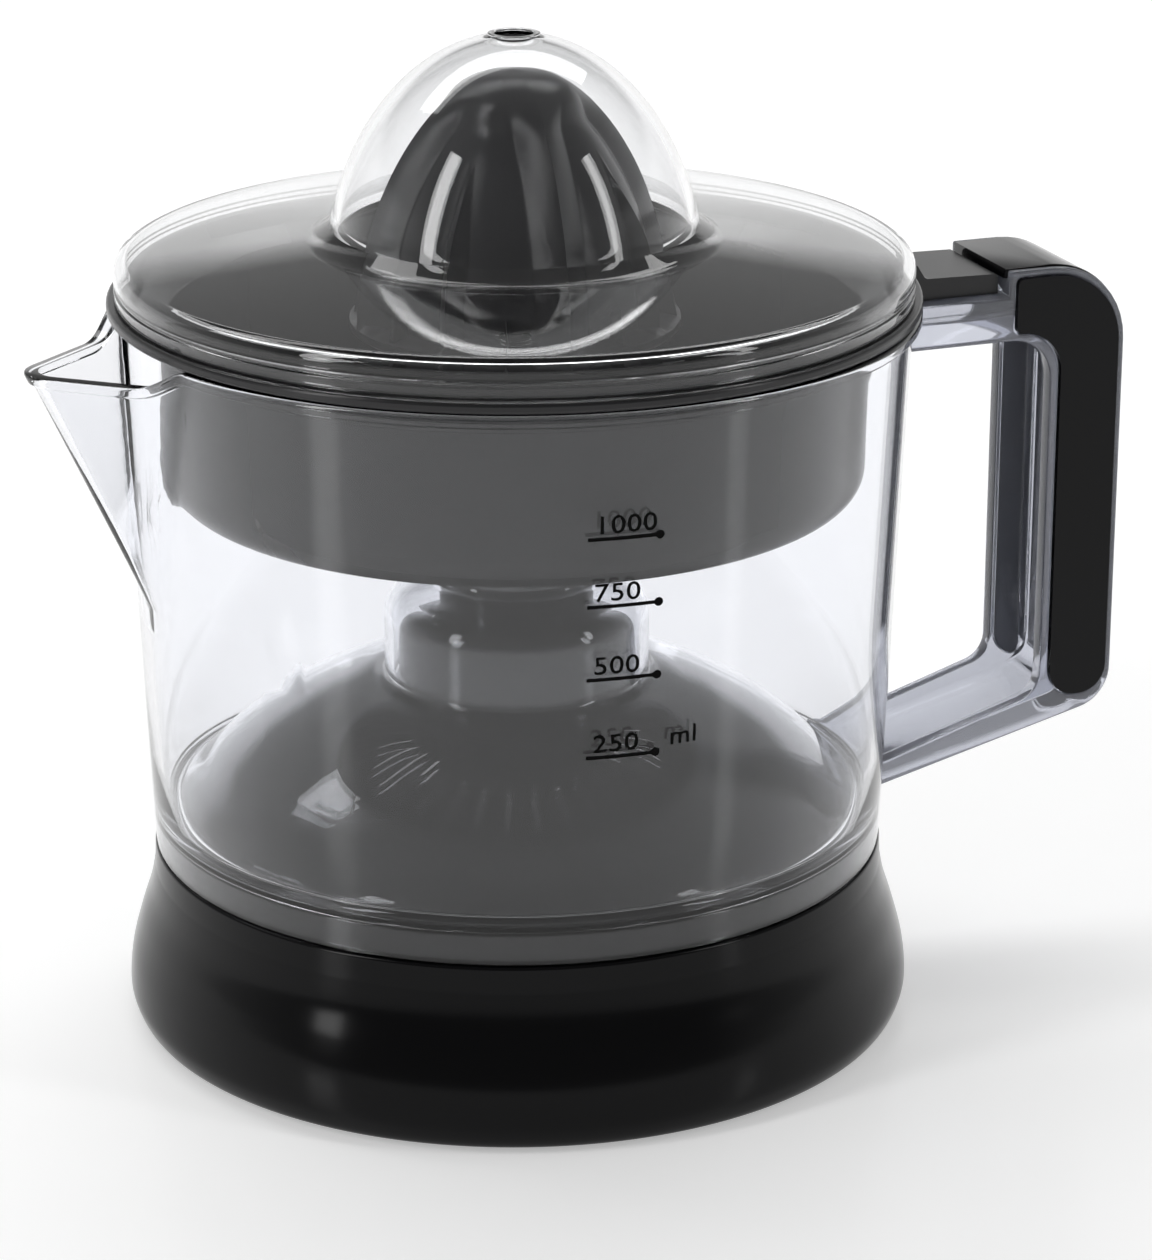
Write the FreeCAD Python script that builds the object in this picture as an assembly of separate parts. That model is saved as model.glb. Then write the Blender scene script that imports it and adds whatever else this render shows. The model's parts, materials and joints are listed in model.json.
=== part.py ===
import FreeCAD, Part
import os
from math import acos, asin, atan2, cos, hypot, pi, radians, sin, tan

# Citrus press juicer, in millimetres, +Z up.  The juicer is drawn about its
# own spindle, with the handle towards +X and the spout towards -X.  Every
# piece is then moved by AXIS_X, so that the origin is at the bottom centre of
# the whole object's box.

os.makedirs("parts", exist_ok=True)

# ---- driving dimensions ------------------------------------------------------
HANDLE_REACH = 132.0          # spindle to the back of the handle
SPOUT_REACH = 102.0           # spindle to the tip of the spout
AXIS_X = -(HANDLE_REACH - SPOUT_REACH) / 2

BASE_R = 82.3                 # widest part of the base
SEAM_R = 76.2                 # top edge of the base's flank
SEAM_Z = 38.2                 # ledge that carries the jug
BASE_WALL = 2.4
STEP_R = 72.8                 # step inside the jug's skirt
TOWER_R = 24.5
TOWER_Z = 84.0
NECK_R = 15.5
NECK_Z = 104.0

JUG_FOOT_R = 76.0             # outside of the jug at its foot
JUG_RIM_R = 80.6              # outside of the jug under its rim
JUG_FOOT_Z = 38.5
JUG_RIM_Z = 152.0
JUG_WALL = 2.2
CHIMNEY_R = 27.5
JUG_NECK_R = 18.5
JUG_NECK_Z = 122.0

FLANGE_R = 82.5               # tray flange and jug rim
TRAY_R = 72.0
TRAY_Z = 152.3                # underside of the tray's flange
TRAY_FLOOR_Z = 112.5
TRAY_WALL = 2.2

LID_R = 80.9
LID_Z = 154.8
LID_TOP = 206.8
LID_WALL = 1.8
LID_DOME_R = 38.5
LID_DOME_Z = 156.0            # centre of the dome's ellipse

CONE_BASE_Z = 148.0
CONE_TIP_Z = 199.4
RIBS = 5
RIB_PHASE = 46.0              # angle of one main rib about the spindle

PLATE_Z = 40.0                # chassis plate, which carries the drive
PLATE_T = 2.0
SHAFT_R = 4.0
HEX_AF = 8.0                  # across the flats of the spindle's hexagons
RUN = 0.06                    # radial clearance of a running fit

MOTOR_X = -45.0
IDLER_X = -25.0


# ---- helpers -----------------------------------------------------------------
def at(r, z):
    """A point of a section, r from the spindle and z up."""
    return FreeCAD.Vector(r, 0, z)


def plan(x, y):
    return FreeCAD.Vector(x, y, 0)


def rounded(points, place=at, closed=False):
    """Edges through points (a, b) or (a, b, radius), with arcs at the corners."""
    last = len(points) - 1
    corners = []
    for i, point in enumerate(points):
        here = place(point[0], point[1])
        if len(point) < 3 or (not closed and i in (0, last)):
            corners.append((here, None, here))
            continue
        before = place(*points[i - 1][:2])
        after = place(*points[(i + 1) % len(points)][:2])
        back = (before - here).normalize()
        ahead = (after - here).normalize()
        half = back.getAngle(ahead) / 2
        start = here + back * (point[2] / tan(half))
        end = here + ahead * (point[2] / tan(half))
        inward = (back + ahead).normalize()
        middle = here + inward * (point[2] / sin(half) - point[2])
        corners.append((start, middle, end))
    edges = []
    for i, (start, middle, end) in enumerate(corners):
        if middle is not None:
            edges.append(Part.Arc(start, middle, end).toShape())
        if i == last and not closed:
            break
        following = corners[(i + 1) % len(corners)][0]
        if end.distanceToPoint(following) > 1e-6:
            edges.append(Part.LineSegment(end, following).toShape())
    return edges


def curve(points, place=at):
    """One smooth edge through the points."""
    spline = Part.BSplineCurve()
    spline.interpolate([place(a, b) for a, b in points])
    return [spline.toShape()]


def face(edges):
    """A face inside the edges, closed by a straight edge if they are open."""
    start = edges[0].firstVertex(True).Point
    end = edges[-1].lastVertex(True).Point
    if start.distanceToPoint(end) > 1e-6:
        edges = edges + [Part.LineSegment(end, start).toShape()]
    return Part.Face(Part.Wire(edges))


def lathe(edges):
    """The solid that the section sweeps about the spindle."""
    return face(edges).revolve(FreeCAD.Vector(), FreeCAD.Vector(0, 0, 1), 360)


def turned(points):
    return lathe(rounded(points, closed=True))


def prism(points, z0, z1, place=plan):
    """A plan outline stretched from z0 up to z1."""
    shape = face(rounded(points, place, closed=True))
    shape.translate(FreeCAD.Vector(0, 0, z0))
    return shape.extrude(FreeCAD.Vector(0, 0, z1 - z0))


def slab(points, y0, y1):
    """A side outline (x, z) stretched across from y0 to y1."""
    shape = face(rounded(points, closed=True))
    shape.translate(FreeCAD.Vector(0, y0, 0))
    return shape.extrude(FreeCAD.Vector(0, y1 - y0, 0))


def box(x0, x1, y0, y1, z0, z1):
    return Part.makeBox(x1 - x0, y1 - y0, z1 - z0, FreeCAD.Vector(x0, y0, z0))


def rod(r, z0, z1, x=0.0, y=0.0):
    return Part.makeCylinder(r, z1 - z0, FreeCAD.Vector(x, y, z0))


def ring(r0, r1, z0, z1, x=0.0, y=0.0):
    return rod(r1, z0, z1, x, y).cut(rod(r0, z0, z1, x, y))


def hexagon(across, z0, z1):
    radius = across / 2 / cos(pi / 6)
    points = [(radius * cos(i * pi / 3), radius * sin(i * pi / 3)) for i in range(6)]
    return prism(points, z0, z1)


def spots(radius, count, first=0.0):
    """Places (x, y) spaced evenly round a circle."""
    angles = [radians(first + i * 360 / count) for i in range(count)]
    return [(radius * cos(a), radius * sin(a)) for a in angles]


def turn(shape, angle):
    copy = shape.copy()
    copy.rotate(FreeCAD.Vector(), FreeCAD.Vector(0, 0, 1), angle)
    return copy


def gear(module, teeth, z0, z1, phase=0.0, addendum=0.8, backlash=0.12):
    """An involute spur gear about the spindle, with a tooth at angle phase."""
    pitch_r = module * teeth / 2
    base_r = pitch_r * cos(radians(20))
    root_r = pitch_r - 1.15 * module
    tip_r = pitch_r + addendum * module
    pitch_half = pi / 2 / teeth - backlash / pitch_r / 2

    def half_angle(r):
        if r <= base_r:
            r = base_r
        roll = acos(base_r / r)
        return pitch_half + (tan(radians(20)) - radians(20)) - (tan(roll) - roll)

    steps = [root_r] + [root_r + (tip_r - root_r) * k / 4 for k in (1, 2, 3, 4)]
    points = []
    for tooth in range(teeth):
        middle = radians(phase) + tooth * 2 * pi / teeth
        flank = [(r, middle - half_angle(r)) for r in steps]
        flank += [(r, middle + half_angle(r)) for r in reversed(steps)]
        points += [(r * cos(a), r * sin(a)) for r, a in flank]
    return prism(points, z0, z1)


def save(name, *shapes):
    """Write a node, as one solid or as a group of separate solids."""
    shape = shapes[0] if len(shapes) == 1 else Part.makeCompound(list(shapes))
    shape = shape.copy()
    shape.translate(FreeCAD.Vector(AXIS_X, 0, 0))
    shape.exportStep("parts/" + name + ".step")
    print(name, len(shape.Solids), round(shape.Volume), shape.isValid())


# ---- the dome shared by the base and the jug's floor ----------------------------
# Heights of the top of the jug's floor.  The base's dome lies under it.
FLOOR = [(70.5, 49.2), (66, 53.0), (60, 58.6), (52, 64.2), (42, 69.2), (34, 71.8), (29.5, 72.6)]
FLOOR_T = 2.0
FLOOR_GAP = 1.5


def dome(lower):
    """The floor's curve, lowered, from the rim in towards the spindle."""
    return curve([(r, z - lower) for r, z in FLOOR])


BASE_DOME = FLOOR_T + FLOOR_GAP


# ---- base --------------------------------------------------------------------
FLANK = [(79.2, 0.9), (81.5, 3.4), (BASE_R, 7.5), (81.6, 13.5), (79.7, 20.5), (77.6, 27.0), (76.4, 33.0)]
BOSS_R = 68.0
BOSS_SPOTS = spots(BOSS_R, 3, 97)
PLATE_SPOTS = spots(54.0, 3, 30)
FOOT_SPOTS = spots(60.0, 4, 45)
GLAND_Z = 13.0
SCREW_R = 1.6


def base_housing():
    outside = lathe(
        curve(FLANK)
        + rounded([(76.4, 33.0), (SEAM_R, SEAM_Z, 0.6), (STEP_R, SEAM_Z), (STEP_R, 43.6),
                   (FLOOR[0][0], 45.7)])
        + dome(BASE_DOME)
        + rounded([(29.5, 69.1), (TOWER_R, 71.5, 2), (TOWER_R, TOWER_Z, 4), (NECK_R, 87.0, 2),
                   (NECK_R, NECK_Z, 2), (0, NECK_Z), (0, 0.9)])
    )
    inside = lathe(
        curve([(r - BASE_WALL, z) for r, z in FLANK])
        + rounded([(74.0, 33.0), (73.8, 35.8, 0.6), (70.4, 35.8), (70.4, 41.2), (68.1, 43.3), (64.8, 47.1)])
        + curve([(r - 1.2, z - BASE_DOME - BASE_WALL) for r, z in FLOOR[1:]])
        + rounded([(28.3, 66.7), (TOWER_R - BASE_WALL, 66.7), (TOWER_R - BASE_WALL, TOWER_Z - 2.4, 2),
                   (NECK_R - BASE_WALL, 84.4), (NECK_R - BASE_WALL, NECK_Z - 3), (0, NECK_Z - 3), (0, 0.9)])
    )
    shell = outside.cut(inside)
    roof = outside.cut(rod(90, 0, 34))
    bosses = [rod(4.0, 4.0, 60, x, y) for x, y in BOSS_SPOTS]
    bosses += [rod(3.6, PLATE_Z + PLATE_T, 66, x, y) for x, y in PLATE_SPOTS]
    for boss in bosses:
        trimmed = boss.common(roof.fuse(rod(74, 0, 40)))
        shell = shell.fuse(trimmed.common(outside))
    shell = shell.cut(rod(SHAFT_R + 3.0, 90, NECK_Z + 1))
    for x, y in BOSS_SPOTS:
        shell = shell.cut(rod(SCREW_R, 3, 17, x, y))
    for x, y in PLATE_SPOTS:
        shell = shell.cut(rod(SCREW_R, 39, 50, x, y))
    inlet = Part.makeCylinder(5.0, 12, FreeCAD.Vector(0, 74, GLAND_Z), FreeCAD.Vector(0, 1, 0))
    return shell.cut(inlet).removeSplitter()


def bottom_plate():
    plate = rod(76.4, 1.6, 4.0)
    for x, y in FOOT_SPOTS:
        plate = plate.cut(rod(2.5, 1, 5, x, y))
    for x, y in BOSS_SPOTS:
        plate = plate.cut(rod(SCREW_R, 1, 5, x, y))
        plate = plate.cut(rod(3.4, 1, 2.8, x, y))
    for row in range(-3, 4):
        slot = prism([(-16, -1.3, 1.2), (16, -1.3, 1.2), (16, 1.3, 1.2), (-16, 1.3, 1.2)], 1, 5)
        slot.translate(FreeCAD.Vector(0, row * 6, 0))
        plate = plate.cut(slot)
    return plate


def rubber_foot(x, y):
    foot = turned([(0, 0), (8, 0, 0.7), (8, 1.6), (2.5, 1.6), (2.5, 4.0), (3.4, 4.0), (2.2, 5.6, 0.5),
                   (0, 5.6)])
    foot.translate(FreeCAD.Vector(x, y, 0))
    return foot


def screw(x, y, head_z, length, up=1):
    """A pan head at head_z with its shank going up (1) or down (-1)."""
    head = turned([(0, 0), (3.2, 0, 0.5), (3.2, 1.2), (SCREW_R, 1.2), (SCREW_R, length), (0, length)])
    slot = box(-2.2, 2.2, -0.35, 0.35, 0, 0.7).fuse(box(-0.35, 0.35, -2.2, 2.2, 0, 0.7))
    head = head.cut(slot)
    if up < 0:
        head.rotate(FreeCAD.Vector(), FreeCAD.Vector(1, 0, 0), 180)
    head.translate(FreeCAD.Vector(x, y, head_z))
    return head


def cord_gland():
    axis = FreeCAD.Vector(0, 1, 0)
    body = Part.makeCylinder(5.0, 9.4, FreeCAD.Vector(0, 72.0, GLAND_Z), axis)
    flange = Part.makeCylinder(7.5, 1.8, FreeCAD.Vector(0, 74.6, GLAND_Z), axis)
    hole = Part.makeCylinder(3.1, 14, FreeCAD.Vector(0, 70, GLAND_Z), axis)
    return body.fuse(flange).cut(hole)


def terminal_block():
    block = box(-13, 13, 52, 61, 4.0, 14.0)
    for x in (-8.5, 0, 8.5):
        block = block.cut(rod(2.2, 9, 15, x, 56.5))
        block = block.cut(box(x - 1.5, x + 1.5, 51, 62, 6.0, 9.0))
    return block


# ---- drive -------------------------------------------------------------------
LEVER_X = 20.0
LEVER_Z = 31.0
HUB_BORE = 7.0 + RUN


def chassis_plate():
    plate = rod(61.0, PLATE_Z, PLATE_Z + PLATE_T)
    plate = plate.cut(rod(9.0, 39, 43))
    plate = plate.cut(rod(3.2, 39, 43, MOTOR_X))
    plate = plate.cut(rod(2.0, 39, 43, IDLER_X))
    for x, y in PLATE_SPOTS:
        plate = plate.cut(rod(SCREW_R, 39, 43, x, y))
    for x, y in MOTOR_SCREWS:
        plate = plate.fuse(ring(SCREW_R, 3.2, 33.6, PLATE_Z, x, y))
        plate = plate.cut(rod(SCREW_R, 33, 43, x, y))
    lugs = box(LEVER_X - 3, LEVER_X + 3, -7.5, 7.5, LEVER_Z - 2.5, PLATE_Z)
    lugs = lugs.cut(box(LEVER_X - 4, LEVER_X + 4, -5.0, 5.0, LEVER_Z - 3, PLATE_Z))
    pin = Part.makeCylinder(1.2, 20, FreeCAD.Vector(LEVER_X, -10, LEVER_Z), FreeCAD.Vector(0, 1, 0))
    return plate.fuse(lugs).cut(pin)


# The motor's core: a ring round the rotor, and a leg at +Y that carries the coil.
CORE_Z = (14.0, 30.0)
CORE_HALF = 17.0
ROTOR_R = 12.0
LEG_Y = (25.0, 33.0)
MOTOR_SCREWS = [(MOTOR_X + sx * 12.8, sy * 12.8) for sx in (-1, 1) for sy in (-1, 1)]
BRIDGE_T = 1.8


def motor_core():
    low, high = CORE_Z
    core = box(MOTOR_X - CORE_HALF, MOTOR_X + CORE_HALF, -CORE_HALF, LEG_Y[1], low, high)
    core = core.cut(rod(ROTOR_R + 0.5, low - 1, high + 1, MOTOR_X))
    core = core.cut(box(MOTOR_X - 11, MOTOR_X + 11, CORE_HALF, LEG_Y[0], low - 1, high + 1))
    for x, y in MOTOR_SCREWS:
        core = core.cut(rod(SCREW_R, low - 1, high + 1, x, y))
    return core


def motor_coil():
    low, high = CORE_Z
    coil = box(MOTOR_X - 10.5, MOTOR_X + 10.5, LEG_Y[0] - 5.5, LEG_Y[1] + 5.5, low - 5.5, high + 5.5)
    upright = [e for e in coil.Edges if abs(e.tangentAt(e.FirstParameter).x) > 0.9]
    coil = coil.makeFillet(4.0, upright)
    return coil.cut(box(MOTOR_X - 12, MOTOR_X + 12, LEG_Y[0], LEG_Y[1], low, high))


def motor_bridge(z0, side):
    """A bearing strip across the core; side is the way its bearing boss points."""
    strip = box(MOTOR_X - 16.5, MOTOR_X + 16.5, -16.5, 16.5, z0, z0 + BRIDGE_T)
    strip = strip.cut(box(MOTOR_X - 9, MOTOR_X + 9, 5, 20, z0 - 1, z0 + 3))
    strip = strip.cut(box(MOTOR_X - 9, MOTOR_X + 9, -20, -5, z0 - 1, z0 + 3))
    boss = rod(4.5, z0, z0 + BRIDGE_T + 2, MOTOR_X) if side > 0 else rod(4.5, z0 - 2, z0 + BRIDGE_T, MOTOR_X)
    strip = strip.fuse(boss)
    spacer_z = (z0 - 1.8, z0) if side > 0 else (z0 + BRIDGE_T, z0 + BRIDGE_T + 1.8)
    for x, y in MOTOR_SCREWS:
        strip = strip.fuse(rod(3.0, spacer_z[0], spacer_z[1], x, y))
        strip = strip.cut(rod(SCREW_R, z0 - 4, z0 + 6, x, y))
    return strip.cut(rod(2.0 + RUN, z0 - 4, z0 + 6, MOTOR_X))


def shifted(shape, x):
    copy = shape.copy()
    copy.translate(FreeCAD.Vector(x, 0, 0))
    return copy


def idler_gear():
    small = gear(1.0, 10, 49.0, 57.0, phase=18.0)
    large = gear(0.8, 40, 44.0, 49.0, phase=184.5)
    both = small.fuse(large).cut(rod(2.0 + RUN, 43, 58))
    return shifted(both, IDLER_X)


def output_gear():
    wheel = gear(1.0, 40, 50.0, 56.0, phase=180.0)
    wheel = wheel.cut(ring(11.5, 15.5, 54.0, 57.0)).cut(ring(11.5, 15.5, 49.0, 52.0))
    hub = rod(9.0, 50.0, 60.0).fuse(rod(7.0, 39.2, 50.0))
    return wheel.fuse(hub).cut(hexagon(HEX_AF + 0.14, 38, 61))


def gear_bush():
    return turned([(HUB_BORE, 39.6), (11.5, 39.6), (11.5, PLATE_Z), (9.0, PLATE_Z), (9.0, 42.0),
                   (8.0, 42.0), (8.0, 49.6), (HUB_BORE, 49.6)])


def tower_bush():
    return turned([(SHAFT_R + RUN, 96.0), (7.0, 96.0), (7.0, NECK_Z), (8.5, NECK_Z), (8.5, NECK_Z + 1.4),
                   (SHAFT_R + RUN, NECK_Z + 1.4)])


SHAFT_Z = (34.0, 166.0)
COLLAR_Z = 76.0


def drive_shaft():
    tip = turned([(0, SHAFT_Z[0]), (1.6, SHAFT_Z[0], 0.5), (3.4, 37.0), (3.4, 66.0), (0, 66.0)])
    lower = hexagon(HEX_AF, 38.0, 66.0)
    barrel = turned([(0, 66.0), (SHAFT_R, 66.0), (SHAFT_R, COLLAR_Z), (6.6, COLLAR_Z), (6.6, 78.0),
                     (SHAFT_R, 78.0), (SHAFT_R, 140.0), (0, 140.0)])
    upper = hexagon(HEX_AF - 0.6, 140.0, SHAFT_Z[1] - 2)
    end_z = SHAFT_Z[1]
    nose = hexagon(HEX_AF - 0.6, end_z - 2, end_z)
    nose = nose.common(turned([(0, end_z - 3), (5, end_z - 3), (4.6, end_z - 1.6), (2.8, end_z), (0, end_z)]))
    shaft = tip.fuse([lower, barrel, upper, nose])
    return shaft.cut(ring(2.9, 6.0, 37.4, 38.4)).removeSplitter()


def shaft_clip():
    return ring(2.9, 6.0, 37.4, 38.4).cut(box(-8, 0, -1.8, 1.8, 37, 39))


def return_spring():
    radius = 5.6
    low = 60.6
    height = COLLAR_Z - 0.6 - low
    helix = Part.makeHelix(height / 5, height, radius)
    wire = Part.Wire(Part.makeCircle(0.5, FreeCAD.Vector(radius, 0, 0), FreeCAD.Vector(0, 1, 0)))
    spring = Part.Wire(helix).makePipeShell([wire], True, True)
    spring.translate(FreeCAD.Vector(0, 0, low))
    return spring


def switch_lever():
    bar = slab([(-5, LEVER_Z + 0.2, 1), (-5, LEVER_Z + 2.6, 1), (LEVER_X, LEVER_Z + 2.6, 1),
                (30, LEVER_Z + 0.4, 0.8), (30, LEVER_Z - 1.6, 0.8), (LEVER_X, LEVER_Z - 2.6, 2),
                (14, LEVER_Z + 0.2, 2)], -4.5, 4.5)
    bore = Part.makeCylinder(1.2 + RUN, 20, FreeCAD.Vector(LEVER_X, -10, LEVER_Z), FreeCAD.Vector(0, 1, 0))
    return bar.cut(bore)


def switch_body():
    body = box(24.5, 44.5, -4.8, 4.8, 33.4, PLATE_Z)
    for x in (34, 39.5):
        body = body.fuse(box(x, x + 1, -2.4, 2.4, 27.5, 33.4))
    return body


# ---- jug ---------------------------------------------------------------------
SPOUT_ROOT = 17.0             # half the angle between the spout's roots
SPOUT_LOW = 96.0              # where the spout runs out into the wall
SPOUT_LIP = 147.0


def spout_outline(reach, root_r, tip_r, root_angle, z):
    """Plan of the spout: two sides from the roots, tangent to a round tip."""
    root_x = -root_r * cos(radians(root_angle))
    root_y = root_r * sin(radians(root_angle))
    along = reach - tip_r + root_x
    half = atan2(root_y, along) - asin(tip_r / hypot(root_y, along))
    corner_x = -(reach - tip_r + tip_r / sin(half))
    inner_x = root_x + 20
    points = [(inner_x, -root_y), (root_x, -root_y, 8), (corner_x, 0, tip_r), (root_x, root_y, 8),
              (inner_x, root_y)]
    wire = Part.Wire(rounded(points, plan, closed=True))
    wire.translate(FreeCAD.Vector(0, 0, z))
    return wire


def spout(inset):
    """The spout as a solid; inset shrinks it to the space inside its wall."""
    low = spout_outline(78.2 - inset, 76.0 - inset, 1.6, 5.5, SPOUT_LOW + inset)
    high = spout_outline(SPOUT_REACH - inset * 1.1, 80.6 - inset, 8.0 - inset, SPOUT_ROOT - inset, SPOUT_LIP)
    return Part.makeLoft([low, high], True, True)


def jug_outline(inset):
    """Radius of the jug's side, moved in by inset, as foot and rim points."""
    return (JUG_FOOT_R - inset, JUG_FOOT_Z), (JUG_RIM_R - inset, JUG_RIM_Z - 2.5)


def jug_blank():
    """The jug's outside as a full solid, with its rim flange and without the spout."""
    foot, rim = jug_outline(0)
    return lathe(rounded([foot, rim, (FLANGE_R, JUG_RIM_Z - 2.5, 0.8), (FLANGE_R, JUG_RIM_Z, 0.8),
                          (0, JUG_RIM_Z), (0, JUG_FOOT_Z)], closed=True))


def jug_body():
    """The round part of the jug.  Its wall is open where the spout joins it."""
    foot, rim = jug_outline(JUG_WALL)
    inside = lathe(
        rounded([(rim[0], JUG_RIM_Z + 1), rim, (foot[0] + 0.3, 47.0, 1.5), (72.4, 47.0), FLOOR[0]])
        + dome(0)
        + rounded([(29.5, 72.6), (CHIMNEY_R, 73.6, 1.5), (CHIMNEY_R, 89.5, 7), (JUG_NECK_R, 95.0, 3),
                   (JUG_NECK_R, JUG_NECK_Z, 1.5), (0, JUG_NECK_Z), (0, JUG_RIM_Z + 1)])
    )
    bore = CHIMNEY_R - FLOOR_T
    neck = JUG_NECK_R - FLOOR_T
    below = lathe(
        rounded([(JUG_FOOT_R - JUG_WALL, JUG_FOOT_Z - 1), (JUG_FOOT_R - JUG_WALL, 44.8, 1), (72.0, 45.0),
                 (FLOOR[0][0], 47.2)])
        + dome(FLOOR_T)
        + rounded([(29.5, 70.6), (bore, 71.5, 1), (bore, 88.0, 5), (neck, 92.5, 1.5),
                   (neck, JUG_NECK_Z - FLOOR_T), (0, JUG_NECK_Z - FLOOR_T), (0, JUG_FOOT_Z - 1)])
    )
    body = jug_blank().cut(inside).cut(spout(JUG_WALL))
    mouth = prism([(-60, -21.5), (-110, -21.5), (-110, 21.5), (-60, 21.5)], SPOUT_LIP, 160)
    body = body.cut(mouth.common(spout_gap()))
    return keep_largest(body.cut(below).cut(rod(7.0, 115, 125)))


def jug_spout():
    """The spout's walls, from the outside of the jug's wall to the tip."""
    return keep_largest(spout(0).cut(spout(JUG_WALL)).cut(jug_blank()))


def spout_gap():
    """The sector between the spout's roots, where the jug's rim is left out."""
    x, y = 120 * cos(radians(SPOUT_ROOT)), 120 * sin(radians(SPOUT_ROOT))
    return prism([(0, 0), (-x, y), (-x, -y)], 140, 160)


def keep_largest(shape):
    return max(shape.Solids, key=lambda solid: solid.Volume)


# ---- handle ------------------------------------------------------------------
HANDLE_HALF = 14.2            # half the clear frame's width
STRIP_HALF = 12.4
STRIP_T = 2.2
STRIP_PROUD = 0.3
STRIP_END_Z = 58.0
FRAME_X = HANDLE_REACH - STRIP_PROUD
ARM_TOP = 146.0
CAP_X = 104.5
CAP_TOP = 151.6
CORNER_R = 17.0
BORDER = 1.5                  # clear edge left round the side panels
INLAY_T = 1.8
INLAY_SUNK = 1.1


def handle_frame_outline():
    return [(70, ARM_TOP), (CAP_X, ARM_TOP), (CAP_X, CAP_TOP), (FRAME_X, CAP_TOP, CORNER_R),
            (FRAME_X, 54.1, 9), (70, 38.7), (70, 43.6), (114.7, 57.4, 6), (114.7, 136.5, 9), (70, 136.5)]


def inlay_outline(gap):
    """The black panel on each side face, made smaller by gap."""
    left, right = CAP_X + BORDER + gap, FRAME_X - BORDER - gap
    inner, top, bottom = 116.6 + gap, CAP_TOP - BORDER - gap, 56.0 + gap
    return [(left, top, 1.2 - gap), (right, top, CORNER_R - BORDER - gap), (right, bottom, 5.8 - gap),
            (inner, bottom, 5.8 - gap), (inner, 138.0 + gap, 9.0 + gap), (left, 138.0 + gap, 1.2 - gap)]


def strip_line(depth):
    """The strip's side outline: from the cap's end, over the corner and down the
    back, as thick as depth, with its outside proud of the frame."""
    top, back = CAP_TOP + STRIP_PROUD, HANDLE_REACH
    radius = CORNER_R + STRIP_PROUD
    return [(CAP_X, top), (back, top, radius), (back, STRIP_END_Z), (back - depth, STRIP_END_Z),
            (back - depth, top - depth, radius - depth), (CAP_X, top - depth)]


def jug_side():
    """The jug's outer cone, filled in, which the handle stops against."""
    foot, rim = jug_outline(0)
    return lathe(rounded([foot, rim, (FLANGE_R, JUG_RIM_Z - 2.5), (FLANGE_R, JUG_RIM_Z), (0, JUG_RIM_Z),
                          (0, JUG_FOOT_Z - 2), (JUG_FOOT_R, JUG_FOOT_Z - 2)], closed=True))


def jug_handle():
    frame = slab(handle_frame_outline(), -HANDLE_HALF, HANDLE_HALF)
    inner = slab([(60, 141.6), (121.6, 141.6, 14), (121.6, 53.0, 5), (60, 37.6)], -10.6, 10.6)
    finger_side = slab([(60, 150), (140, 150), (140, 51.5), (60, 41.5)], -10.6, 10.6)
    frame = frame.cut(inner.common(finger_side))
    for side in (-1, 1):
        face_y = side * HANDLE_HALF
        deep_y = side * (HANDLE_HALF - INLAY_SUNK)
        frame = frame.cut(slab(inlay_outline(0), min(face_y, deep_y), max(face_y, deep_y)))
    frame = frame.cut(slab(strip_line(STRIP_T), -STRIP_HALF, STRIP_HALF))
    return keep_largest(frame.cut(jug_side()))


def handle_inlay(side):
    low = HANDLE_HALF - INLAY_SUNK
    edges = (low, low + INLAY_T) if side > 0 else (-low - INLAY_T, -low)
    return slab(inlay_outline(0.15), edges[0], edges[1])


def handle_back_strip():
    """The strip over the top corner and down the back of the handle."""
    return slab(strip_line(STRIP_T), -STRIP_HALF, STRIP_HALF)


# ---- tray, reamer and cover ------------------------------------------------------
HUB_R = 19.3
HUB_TOP = 130.0
COLUMN_TOP = 138.0
SLOTS = 30


def juice_tray():
    bowl = turned([(FLANGE_R, TRAY_Z, 0.7), (FLANGE_R, TRAY_Z + 2.2, 0.7), (78.6, TRAY_Z + 2.2),
                   (78.6, 157.0, 0.5), (76.8, 157.0, 0.5), (75.2, TRAY_Z + 1.4, 1.5),
                   (TRAY_R - TRAY_WALL, 150.0, 1.5),
                   (TRAY_R - TRAY_WALL - 0.6, TRAY_FLOOR_Z + 3.4, 5), (24.5, TRAY_FLOOR_Z + 1.6, 3),
                   (23.0, HUB_TOP, 2), (10.0, HUB_TOP + 0.6, 2), (7.5, HUB_TOP + 2.0),
                   (7.5, COLUMN_TOP, 0.6), (4.7, COLUMN_TOP),
                   (4.7, HUB_TOP - 2.2), (HUB_R, HUB_TOP - 2.2, 1), (HUB_R, TRAY_FLOOR_Z - 0.6),
                   (TRAY_R - 0.6, TRAY_FLOOR_Z + 1.0, 7), (TRAY_R, 146.0), (TRAY_R + 0.8, 146.4),
                   (TRAY_R + 0.8, 149.4, 1), (77.8, 149.4, 0.6), (77.8, TRAY_Z)])
    slot = prism([(34, -1.1, 1.0), (62, -1.1, 1.0), (62, 1.1, 1.0), (34, 1.1, 1.0)], 100, 125)
    for i in range(SLOTS):
        bowl = bowl.cut(turn(slot, 6 + i * 360 / SLOTS))
    tab_end = CAP_X - 1.3
    tab = slab([(80, ARM_TOP + 0.4), (tab_end, ARM_TOP + 0.4), (tab_end, 150.6, 0.8), (86.5, 151.0, 1.5),
                (84.6, 154.0), (80, 154.0)], -11, 11)
    return bowl.fuse(tab.cut(rod(FLANGE_R + 0.3, 140, TRAY_Z))).removeSplitter()


# Radius of the reamer at its ribs, from the foot to the tip.
CONE = [(33.6, CONE_BASE_Z), (32.4, 156.0), (30.4, 164.5), (27.4, 173.0), (23.0, 181.0), (18.0, 188.0),
        (12.5, 193.8), (6.0, 198.0), (0, CONE_TIP_Z)]


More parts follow.
